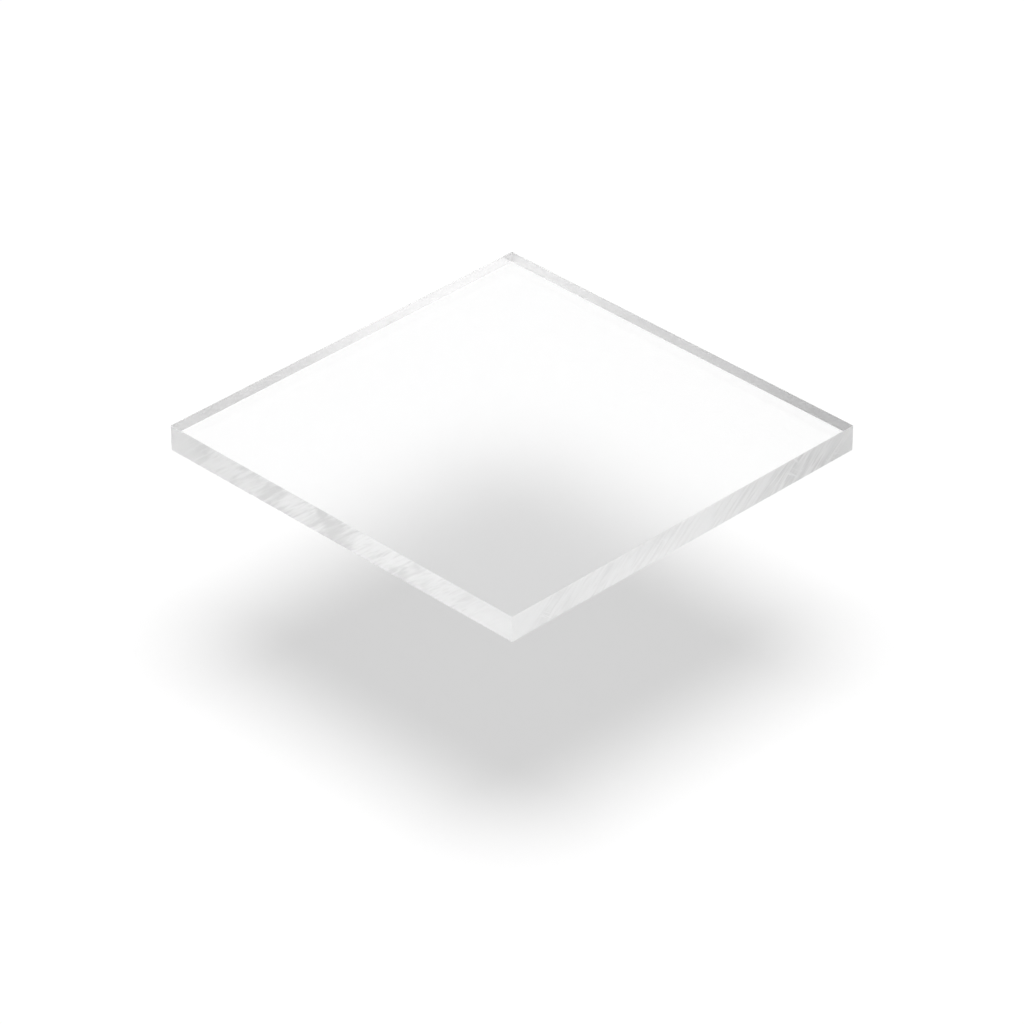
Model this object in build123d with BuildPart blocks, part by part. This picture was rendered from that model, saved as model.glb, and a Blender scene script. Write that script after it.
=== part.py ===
from build123d import *
import os

# A square of solid frosted acrylic, cut out of stock sheet with a fine saw.
# Millimetres, +Z up, lying flat, with the origin at the middle of the underside.

# Driving dimensions
length = 100.0  # along X, saw cut to saw cut
width = 100.0  # along Y, saw cut to saw cut
thickness = 6.0  # the stock's nominal thickness
arris_break = 0.2  # width of the flat scraped along the edges of both faces
corner_break = 0.2  # width of the flat scraped down each upright corner

os.makedirs("parts", exist_ok=True)

with BuildPart() as acrylic_sheet:
    # The stock, squared on all four sides by the saw
    with BuildSketch(Plane.XY):
        Rectangle(length, width)
    extrude(amount=thickness)

    # The four upright corners are deburred first, so that the flats along the faces run round them
    chamfer(acrylic_sheet.edges().filter_by(Axis.Z), length=corner_break)

    # Then every edge of the upper face and of the underside
    face_edges = acrylic_sheet.faces().filter_by(Axis.Z).edges()
    chamfer(face_edges, length=arris_break)

acrylic_sheet.part.label = "acrylic_sheet"
export_step(acrylic_sheet.part, "parts/acrylic_sheet.step")
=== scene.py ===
import bpy
import math
import numpy as np
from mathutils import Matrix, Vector


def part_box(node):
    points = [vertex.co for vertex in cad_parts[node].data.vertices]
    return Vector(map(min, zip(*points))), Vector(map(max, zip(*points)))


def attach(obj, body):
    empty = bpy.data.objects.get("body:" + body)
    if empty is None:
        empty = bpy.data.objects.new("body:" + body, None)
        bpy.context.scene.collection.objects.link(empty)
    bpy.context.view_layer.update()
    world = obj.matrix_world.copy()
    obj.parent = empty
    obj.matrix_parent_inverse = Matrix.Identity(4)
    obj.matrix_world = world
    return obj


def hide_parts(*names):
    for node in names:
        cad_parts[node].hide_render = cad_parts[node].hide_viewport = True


# A square of frosted acrylic with sawn edges, hovering over a white floor.
# Metres, in the frame of the CAD solid: +Z up, the origin at the middle of the underside.

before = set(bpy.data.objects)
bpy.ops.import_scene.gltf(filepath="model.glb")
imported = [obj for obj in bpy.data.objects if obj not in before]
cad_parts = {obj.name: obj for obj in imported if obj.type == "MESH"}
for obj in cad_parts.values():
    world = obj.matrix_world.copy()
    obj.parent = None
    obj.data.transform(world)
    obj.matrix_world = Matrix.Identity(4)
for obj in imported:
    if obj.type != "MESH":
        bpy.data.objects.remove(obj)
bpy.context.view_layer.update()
sheet_low, sheet_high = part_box("acrylic_sheet")

MM = 0.001

# The sheet
HALF_SIDE = sheet_high.x
THICKNESS = sheet_high.z - sheet_low.z
ARRIS = 0.01 * MM  # the flats scraped along the faces, far narrower than the solid's
CORNER = 0.01 * MM  # the flats scraped down the upright corners, as narrow
SIDES = 4
ACRYLIC_IOR = 1.49

# The mesh
CELLS = 50  # squares along a side in the middle of the two faces
STEPS_PER_CELL = 12  # steps along a sawn edge for each of those squares
STEPS = CELLS * STEPS_PER_CELL
RING = SIDES * (STEPS + 1)  # points in a ring round the sheet
BORDER = 1.5 * MM  # from the faces' scraped edges to the squares in their middle
SHARP_ANGLE = math.radians(28)  # a fold above this shows as a crisp line
TOP_SLOT, UNDERSIDE_SLOT, FIRST_EDGE_SLOT = 0, 1, 2
EDGE_PLACE = "edge_place"  # the attribute that says how far along and up its edge a point lies

# The nicks that the saw left in the lower arris
NICK_SEED = 50
NICK_SPACING = 3.5 * MM
NICK_GAP = 0.3 * MM  # the least distance from one to the next
NICK_HALF_WIDTH = (0.12 * MM, 0.45 * MM)
NICK_DEPTH = 0.12 * MM  # of the deepest
NICK_SHALLOWEST = 0.15  # before squaring, as a share of the deepest
NICK_REACH = 0.3 * MM  # how far up the sawn edge one can show
NICK_LIFT = 0.6  # how far it rises up the edge, as a share of its depth
NICK_MARGIN = 0.5 * MM  # the nicks run out this close to a corner

# The frosting under the sheet
GRAIN_SCALE = 400  # how many times in a metre it turns finer and coarser
GRAIN_ROUGHNESS = (0.2, 0.26)

# The saw's tooth marks, which rise to the right, seen from outside
MARK_ANGLE = math.radians(40)
GROOVE = 0.02 * MM  # how deep they are
STREAK_SIZE = (6 * MM, 0.8 * MM)  # along the teeth's path, and across it
PATCH_SIZE = (14 * MM, 9 * MM)
PATCH_SHIFT = 0.07  # the shifts set each kind of mark on a part of the noise of its own
STREAK_RANGE = (0.75, 1.25)  # of streaks and patches together, from fully dark to clear
STREAK_FADE = 12 * MM  # the stretch at each end of an edge in which the streaks die out
SCRATCH_SHIFT = 0.15
SCRATCH_LENGTH = 30 * MM
SCRATCH_SPACING = 2.4 * MM
SCRATCH_WIDTH = 0.05  # half of it, as a step of the noise that draws it
SCRATCH_START = 0.05  # how strong the scratches are in the left half of an edge
CROSSING_SHIFT = 0.35
CROSSING_SPACING = 1.4 * MM
CROSSING_WIDTH = 0.015
CROSSING_PATCHES = (0.35, 0.5)  # of the patches' noise, from where they show in full to where they stop

# The camera, which looks at the upper face across its near corner
CAMERA_DISTANCE = 1.2118
CAMERA_AZIMUTH = math.radians(45)
CAMERA_ELEVATION = math.radians(32.256)
CAMERA_PITCH = math.radians(33.104)
SENSOR = 36.0
LENS = 205.56

# The stage
FLOOR_DROP = 0.0545  # from the upper face down to the floor
FLOOR_SIZE = 40.0
FLOOR_ALBEDO = 0.8  # for light that goes on to other surfaces
KEY_SHARE = 0.37  # of the light that falls on the open floor
KEY_SPREAD = math.radians(43)  # the softbox's width, seen from the sheet
WALLS = 0.75  # how bright the studio's walls are where the acrylic mirrors them
WHITE_MARGIN = 1.03  # so that the open floor comes out clean white
BOUNCES = 32  # light crosses the sheet and turns back inside it many times


def nicks(u, side):
    """Small chips along the lower arris of one side, as depths at the places u."""
    rng = np.random.default_rng(NICK_SEED + side)
    depth = np.zeros_like(u)
    at = -HALF_SIDE
    while at < HALF_SIDE:
        at += NICK_SPACING * rng.exponential(1.0) + NICK_GAP
        wide = rng.uniform(*NICK_HALF_WIDTH)
        deep = NICK_DEPTH * rng.uniform(NICK_SHALLOWEST, 1.0) ** 2
        depth = np.maximum(depth, deep * np.clip(1 - ((u - at) / wide) ** 2, 0, 1))
    return depth


def side_axes(side):
    """The outward normal of a sawn edge, and the direction to the right along it, seen from outside. Side 0
    faces -Y, and the others follow round by +X."""
    angle = math.radians(-90 + 90 * side)
    normal = np.array([round(math.cos(angle)), round(math.sin(angle)), 0.0])
    return normal, np.array([-normal[1], normal[0], 0.0])


def edge_rings():
    """The points of the sawn edges, their places along and up the edges, and the number of rings that they
    make round the sheet. The first ring is the underside's scraped edge and the last the upper face's."""
    low, high = ARRIS, THICKNESS - ARRIS
    heights = [low, low + NICK_REACH, THICKNESS / 2, high - NICK_REACH, high]
    rows = [(ARRIS, 0.0), *[(0.0, z) for z in heights], (ARRIS, THICKNESS)]
    points, places = [], []
    for row, (inset, z) in enumerate(rows):
        end = HALF_SIDE - CORNER - (math.sqrt(2) - 1) * inset
        u = np.linspace(-end, end, STEPS + 1)
        for side in range(SIDES):
            normal, along = side_axes(side)
            nick = nicks(u, side) * np.clip((end - np.abs(u)) / NICK_MARGIN, 0, 1)
            sink = inset + nick * (row == 0)
            stretch = np.outer(HALF_SIDE - sink, normal) + np.outer(u, along)
            stretch[:, 2] = z + NICK_LIFT * nick * (row == 1)
            points.append(stretch)
            places.append(np.c_[u, stretch[:, 2], np.zeros_like(u)])
    return np.vstack(points), np.vstack(places), len(rows)


def edge_squares(rows):
    """The squares between the rings, and the material slot of each."""
    faces, slots = [], []
    for row in range(rows - 1):
        here, above = row * RING, (row + 1) * RING
        for i in range(RING):
            j = (i + 1) % RING
            faces.append((here + i, here + j, above + j, above + i))
            slots.append(FIRST_EDGE_SLOT + i // (STEPS + 1))
    return faces, slots


def face_points(z):
    """The corners of the squares in the middle of a face, row by row."""
    inner = HALF_SIDE - ARRIS - BORDER
    line = np.linspace(-inner, inner, CELLS + 1)
    x, y = np.meshgrid(line, line)
    return np.c_[x.ravel(), y.ravel(), np.full(x.size, z)]


def face_polygons(base, ring):
    """The squares in the middle of a face, and a border that joins them to its ring. base is the number of
    the squares' first corner, and ring that of the ring's first point."""
    wide = CELLS + 1
    faces = []
    for iy in range(CELLS):
        for ix in range(CELLS):
            corner = base + iy * wide + ix
            faces.append((corner, corner + 1, corner + wide + 1, corner + wide))
    borders = [
        [base + k for k in range(wide)],
        [base + k * wide + CELLS for k in range(wide)],
        [base + CELLS * wide + CELLS - k for k in range(wide)],
        [base + (CELLS - k) * wide for k in range(wide)],
    ]
    for side, border in enumerate(borders):
        first = ring + side * (STEPS + 1)
        for cell in range(CELLS):
            outer = [first + cell * STEPS_PER_CELL + k for k in range(STEPS_PER_CELL + 1)]
            faces.append((*outer, border[cell + 1], border[cell]))
        after = ring + ((side + 1) % SIDES) * (STEPS + 1)
        faces.append((first + STEPS, after, border[CELLS]))
    return faces


def sheet_mesh():
    """The whole sheet as one closed mesh: the sawn edges, then the underside, then the upper face."""
    points, places, rows = edge_rings()
    faces, slots = edge_squares(rows)
    underside, top = face_points(0.0), face_points(THICKNESS)
    under_faces = face_polygons(len(points), 0)
    top_faces = face_polygons(len(points) + len(underside), (rows - 1) * RING)
    faces += [tuple(reversed(face)) for face in under_faces] + top_faces
    slots += [UNDERSIDE_SLOT] * len(under_faces) + [TOP_SLOT] * len(top_faces)
    points = np.vstack([points, underside, top])
    places = np.vstack([places, np.zeros((len(points) - len(places), 3))])

    mesh = bpy.data.meshes.new("acrylic_sheet_body")
    mesh.from_pydata([tuple(point) for point in points], [], faces)
    mesh.polygons.foreach_set("material_index", slots)
    mesh.polygons.foreach_set("use_smooth", [slot >= FIRST_EDGE_SLOT for slot in slots])
    attribute = mesh.attributes.new(EDGE_PLACE, "FLOAT_VECTOR", "POINT")
    attribute.data.foreach_set("vector", places.astype(np.float32).ravel())
    mesh.set_sharp_from_angle(angle=SHARP_ANGLE)
    mesh.validate()
    mesh.update()
    return mesh


def calculate(tree, operation, first, second=0.0):
    """One step of arithmetic on sockets or numbers. ABSOLUTE takes only the first."""
    step = tree.nodes.new("ShaderNodeMath")
    step.operation = operation
    for socket, number in zip(step.inputs, (first, second)):
        if isinstance(number, float):
            socket.default_value = number
        else:
            tree.links.new(number, socket)
    return step.outputs["Value"]


def spread(tree, value, start, end, low, high, kind="SMOOTHSTEP"):
    """value, taken from the range of start to end to that of low to high. SMOOTHSTEP leaves no corners."""
    step = tree.nodes.new("ShaderNodeMapRange")
    step.interpolation_type = kind
    for name, number in (("From Min", start), ("From Max", end), ("To Min", low), ("To Max", high)):
        step.inputs[name].default_value = number
    tree.links.new(value, step.inputs["Value"])
    return step.outputs["Result"]


def acrylic(name):
    """A clear acrylic with no roughness yet, its node tree and its shader."""
    material = bpy.data.materials.new(name)
    material.use_nodes = True
    shader = material.node_tree.nodes["Principled BSDF"]
    shader.inputs["Base Color"].default_value = (1, 1, 1, 1)
    shader.inputs["IOR"].default_value = ACRYLIC_IOR
    shader.inputs["Transmission Weight"].default_value = 1.0
    shader.inputs["Roughness"].default_value = 0.0
    return material, material.node_tree, shader


def polished_face():
    """The upper face, as smooth as it was cast."""
    return acrylic("acrylic_polished")[0]


def frosted_face():
    """The underside: an even, fine frosted grain."""
    material, tree, shader = acrylic("acrylic_frosted")
    place = tree.nodes.new("ShaderNodeTexCoord")
    cloud = tree.nodes.new("ShaderNodeTexNoise")
    cloud.inputs["Scale"].default_value = GRAIN_SCALE
    cloud.inputs["Detail"].default_value = 3
    tree.links.new(place.outputs["Object"], cloud.inputs["Vector"])
    grain = spread(tree, cloud.outputs["Fac"], 0.0, 1.0, *GRAIN_ROUGHNESS, kind="LINEAR")
    tree.links.new(grain, shader.inputs["Roughness"])
    return material


def edge_place(tree):
    """How far along and up its edge a point lies."""
    place = tree.nodes.new("ShaderNodeAttribute")
    place.attribute_name = EDGE_PLACE
    return place.outputs["Vector"]


def tooth_marks(tree, angle, length, across, shift):
    """Noise drawn out in one direction, at this angle to the underside."""
    turn = tree.nodes.new("ShaderNodeMapping")
    turn.vector_type = "TEXTURE"
    turn.inputs["Location"].default_value = (shift, 0, 0)
    turn.inputs["Rotation"].default_value = (0, 0, angle)
    turn.inputs["Scale"].default_value = (length, across, 1)
    noise = tree.nodes.new("ShaderNodeTexNoise")
    noise.inputs["Scale"].default_value = 1
    noise.inputs["Detail"].default_value = 2
    noise.inputs["Distortion"].default_value = 0.5
    tree.links.new(edge_place(tree), turn.inputs["Vector"])
    tree.links.new(turn.outputs["Vector"], noise.inputs["Vector"])
    return noise.outputs["Fac"]


def thin_lines(tree, angle, spacing, shift, width):
    """Thin lines at this angle to the underside, about this far apart: 1 in their middles, 0 between."""
    wander = tooth_marks(tree, angle, SCRATCH_LENGTH, spacing, shift)
    off = calculate(tree, "ABSOLUTE", calculate(tree, "SUBTRACT", wander, 0.5))
    return spread(tree, off, 0.0, width, 1.0, 0.0)


def scratches(tree, place, patches, shift):
    """Scratches that grow stronger through the right half of an edge, and thinner ones that cross them here
    and there."""
    lines = thin_lines(tree, MARK_ANGLE, SCRATCH_SPACING, shift + SCRATCH_SHIFT, SCRATCH_WIDTH)
    strength = spread(tree, place, 0.0, HALF_SIDE / 2, SCRATCH_START, 1.0)
    crossing = thin_lines(tree, -MARK_ANGLE, CROSSING_SPACING, shift + CROSSING_SHIFT, CROSSING_WIDTH)
    bare = spread(tree, patches, *CROSSING_PATCHES, 1.0, 0.0)
    lines = calculate(tree, "MULTIPLY", lines, strength)
    crossing = calculate(tree, "MULTIPLY", crossing, bare)
    return calculate(tree, "MAXIMUM", lines, crossing)


def along_edge(tree, place, left, middle, right):
    """A value that goes from left through middle to right along an edge, as it is seen from outside."""
    first = spread(tree, place, -HALF_SIDE, 0.0, left, middle)
    second = spread(tree, place, 0.0, HALF_SIDE, 0.0, right - middle)
    return calculate(tree, "ADD", first, second)


def sawn_edge(name, clear, rough, white, streak, line, shift):
    """An edge as the saw left it. clear is the share of the light that it doesn't scatter as haze. rough,
    white and streak are given at its left end, middle and right end. white is painted shade: a tint of what
    it lets through, set lower where the edge is to look shaded, not a colour of the acrylic. Soft streaks,
    which die out at its ends, darken it by up to streak. Scratches lighten it by up to line. Both stand out a
    little as relief. shift picks the pattern."""
    material, tree, shader = acrylic(name)
    shader.distribution = "GGX"
    shader.inputs["Transmission Weight"].default_value = clear
    split = tree.nodes.new("ShaderNodeSeparateXYZ")
    tree.links.new(edge_place(tree), split.inputs["Vector"])
    place = split.outputs["X"]
    tree.links.new(along_edge(tree, place, *rough), shader.inputs["Roughness"])

    streaks = tooth_marks(tree, MARK_ANGLE, *STREAK_SIZE, shift)
    patches = tooth_marks(tree, MARK_ANGLE, *PATCH_SIZE, shift + PATCH_SHIFT)
    dark = spread(tree, calculate(tree, "ADD", streaks, patches), *STREAK_RANGE, 1.0, 0.0)
    from_middle = calculate(tree, "ABSOLUTE", place)
    fade = spread(tree, from_middle, HALF_SIDE - STREAK_FADE, HALF_SIDE, 1.0, 0.0)
    depth = calculate(tree, "MULTIPLY", along_edge(tree, place, *streak), fade)
    light = scratches(tree, place, patches, shift)

    # painted shade: the tint along the edge from white, darker where the edge is to look shaded, then
    # darkened by the streaks and lightened by the scratches
    painted_shade_and_marks = along_edge(tree, place, *white)
    painted_shade_and_marks = calculate(tree, "SUBTRACT", painted_shade_and_marks, calculate(tree, "MULTIPLY", dark, depth))
    painted_shade_and_marks = calculate(tree, "ADD", painted_shade_and_marks, calculate(tree, "MULTIPLY", light, line))
    tree.links.new(calculate(tree, "MINIMUM", painted_shade_and_marks, 1.0), shader.inputs["Base Color"])

    bump = tree.nodes.new("ShaderNodeBump")
    bump.inputs["Distance"].default_value = GROOVE
    tree.links.new(calculate(tree, "SUBTRACT", streaks, light), bump.inputs["Height"])
    tree.links.new(bump.outputs["Normal"], shader.inputs["Normal"])
    return material


def front_left_edge():
    """The edge at -Y: clear, with the strongest streaks, and a painted shade that dims it a little in its
    middle.
    """
    return sawn_edge(
        "acrylic_sawn_front_left",
        clear=1.0,
        rough=(0.32, 0.32, 0.3),
        # painted shade along the edge: left end, middle, right end
        white=(1.0, 0.98, 1.0),
        streak=(0.28, 0.38, 0.15),
        line=0.05,
        shift=0.43,
    )


def front_right_edge():
    """The edge at +X: half hazy, with the strongest scratches, and a painted shade that dims it at both ends.
    """
    return sawn_edge(
        "acrylic_sawn_front_right",
        clear=0.5,
        rough=(0.32, 0.32, 0.3),
        # painted shade along the edge: left end, middle, right end
        white=(0.95, 1.0, 0.95),
        streak=(0.12, 0.14, 0.22),
        line=0.25,
        shift=0.37,
    )


def far_right_edge():
    """The edge at +Y: the roughest, most of all at its left end, which is the sheet's right corner. A painted
    shade darkens it at that end too.
    """
    return sawn_edge(
        "acrylic_sawn_far_right",
        clear=0.96,
        rough=(0.85, 0.55, 0.36),
        # painted shade along the edge: left end, middle, right end
        white=(0.85, 1.0, 1.0),
        streak=(0.15, 0.15, 0.15),
        line=0.05,
        shift=0.53,
    )


def far_left_edge():
    """The edge at -X: the smoothest, with a painted shade that darkens it towards its right end, which is the
    sheet's left corner.
    """
    return sawn_edge(
        "acrylic_sawn_far_left",
        clear=0.87,
        rough=(0.1, 0.15, 0.26),
        # painted shade along the edge: left end, middle, right end
        white=(1.0, 1.0, 0.6),
        streak=(0.15, 0.15, 0.15),
        line=0.05,
        shift=0.71,
    )


def make_sheet():
    """The sheet, with its materials in the order of the slots: the two faces, then the edges in the order of
    the sides."""
    sheet = bpy.data.objects.new("acrylic_sheet_body", sheet_mesh())
    bpy.context.scene.collection.objects.link(sheet)
    finishes = (polished_face, frosted_face, front_left_edge, front_right_edge, far_right_edge, far_left_edge)
    for finish in finishes:
        sheet.data.materials.append(finish())
    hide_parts("acrylic_sheet")
    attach(sheet, "root")


def make_camera():
    """Set by fitting the seven visible corners of the sheet in the photograph."""
    across = math.cos(CAMERA_ELEVATION)
    towards = Vector((
        math.sin(CAMERA_AZIMUTH) * across,
        -math.cos(CAMERA_AZIMUTH) * across,
        math.sin(CAMERA_ELEVATION),
    ))
    data = bpy.data.cameras.new("camera")
    data.sensor_width = SENSOR
    data.lens = LENS
    camera = bpy.data.objects.new("camera", data)
    camera.location = Vector((0, 0, THICKNESS)) + towards * CAMERA_DISTANCE
    camera.rotation_euler = (math.pi / 2 - CAMERA_PITCH, 0, CAMERA_AZIMUTH)
    bpy.context.scene.collection.objects.link(camera)
    bpy.context.scene.camera = camera


def seen_directly(tree):
    """1 for rays that show a surface to the camera, straight or by way of the acrylic, and 0 for rays that
    light it."""
    path = tree.nodes.new("ShaderNodeLightPath")
    return calculate(tree, "LESS_THAN", path.outputs["Diffuse Depth"], 0.5)


def white_floor():
    """The floor's material, which shows as pure white in full light."""
    material = bpy.data.materials.new("floor_white")
    material.use_nodes = True
    tree = material.node_tree
    tree.nodes.clear()
    output = tree.nodes.new("ShaderNodeOutputMaterial")
    diffuse = tree.nodes.new("ShaderNodeBsdfDiffuse")
    mix = tree.nodes.new("ShaderNodeMix")
    mix.data_type = "RGBA"
    mix.inputs["A"].default_value = (FLOOR_ALBEDO, FLOOR_ALBEDO, FLOOR_ALBEDO, 1)
    mix.inputs["B"].default_value = (1, 1, 1, 1)
    tree.links.new(seen_directly(tree), mix.inputs["Factor"])
    tree.links.new(mix.outputs["Result"], diffuse.inputs["Color"])
    tree.links.new(diffuse.outputs["BSDF"], output.inputs["Surface"])
    return material


def make_floor():
    reach = FLOOR_SIZE / 2
    height = sheet_high.z - FLOOR_DROP
    corners = ((-reach, -reach), (reach, -reach), (reach, reach), (-reach, reach))
    mesh = bpy.data.meshes.new("floor")
    mesh.from_pydata([(x, y, height) for x, y in corners], [], [(0, 1, 2, 3)])
    floor = bpy.data.objects.new("floor", mesh)
    bpy.context.scene.collection.objects.link(floor)
    floor.data.materials.append(white_floor())


def make_softbox():
    """One round softbox overhead, which the sheet keeps off the floor below it."""
    data = bpy.data.lights.new("softbox", "SUN")
    data.energy = KEY_SHARE * WHITE_MARGIN * math.pi
    data.angle = KEY_SPREAD
    data.cycles.use_multiple_importance_sampling = False
    bpy.context.scene.collection.objects.link(bpy.data.objects.new("softbox", data))


def make_studio():
    """An even white studio round the sheet, a little less bright where the acrylic mirrors it."""
    world = bpy.data.worlds.new("studio")
    bpy.context.scene.world = world
    world.use_nodes = True
    tree = world.node_tree
    background = tree.nodes["Background"]
    background.inputs["Color"].default_value = (1, 1, 1, 1)
    path = tree.nodes.new("ShaderNodeLightPath")
    through = calculate(tree, "MAXIMUM", path.outputs["Is Camera Ray"], path.outputs["Is Transmission Ray"])
    level = tree.nodes.new("ShaderNodeMix")
    level.inputs["A"].default_value = (1 - KEY_SHARE) * WHITE_MARGIN
    tree.links.new(seen_directly(tree), level.inputs["Factor"])
    tree.links.new(spread(tree, through, 0.0, 1.0, WALLS, 1.0), level.inputs["B"])
    tree.links.new(level.outputs["Result"], background.inputs["Strength"])
    world.cycles.sampling_method = "NONE"


make_sheet()
make_camera()
make_floor()
make_softbox()
make_studio()

scene = bpy.context.scene
scene.view_settings.view_transform = "Standard"
scene.cycles.blur_glossy = 0.0
scene.cycles.max_bounces = BOUNCES
scene.cycles.glossy_bounces = BOUNCES
scene.cycles.transmission_bounces = BOUNCES
